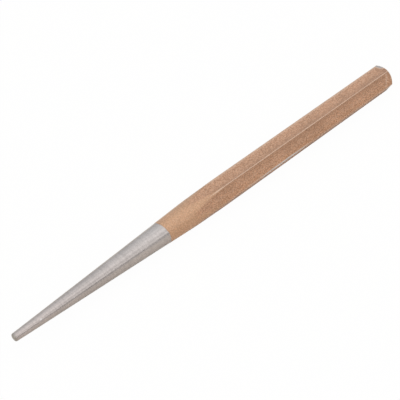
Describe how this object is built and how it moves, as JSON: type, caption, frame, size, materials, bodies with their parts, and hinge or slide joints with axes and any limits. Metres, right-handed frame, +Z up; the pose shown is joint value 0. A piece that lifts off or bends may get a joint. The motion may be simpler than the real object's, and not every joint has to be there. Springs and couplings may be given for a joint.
{
  "type": "taper punch",
  "caption": "Slim hexagonal steel punch with a long bare cone and small flat tip for loosening pins and lining up holes, a lacquered shank and a chamfered head to strike.",
  "frame": {"origin": "on the ground under the middle of the punch's length, with the punch lying on one of its flats", "axes": "+X along the punch from the tip to the struck head, +Y across two ridges, +Z up, square to the flat it lies on"},
  "size_m": [0.19, 0.0116, 0.0102],
  "materials": {
    "ground_steel": "bare steel, ground round the cone to a satin sheen",
    "copper_lacquer": "copper-coloured metallic lacquer, finely speckled, semi-gloss"
  },
  "bodies": {
    "root": {"steel_punch": "ground_steel", "lacquer_coat": "copper_lacquer"}
  },
  "joints": []
}
